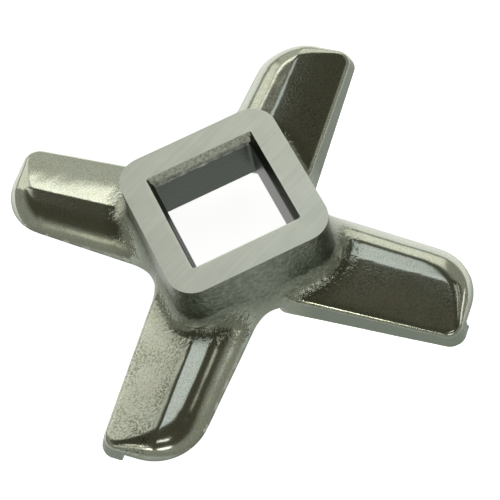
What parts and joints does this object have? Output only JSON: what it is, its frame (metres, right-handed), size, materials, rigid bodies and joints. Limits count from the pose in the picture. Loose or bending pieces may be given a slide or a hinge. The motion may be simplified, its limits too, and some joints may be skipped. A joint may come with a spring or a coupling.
{
  "type": "meat grinder knife",
  "caption": "Flat cross-shaped rotary knife of a meat grinder: raised square boss with a square drive bore, arms with one straight cutting edge each and ground lands that wipe the hole plate.",
  "frame": {"origin": "on the axis of the square bore, in the plane of the ground cutting lands", "axes": "+Z along the bore axis, from the cutting lands towards the ground face of the boss; X and Y square to the flats of the bore"},
  "size_m": [0.0368, 0.0368, 0.0082],
  "materials": {
    "steel": "cast and ground stainless steel"
  },
  "bodies": {
    "root": {"knife": "steel"}
  },
  "joints": []
}
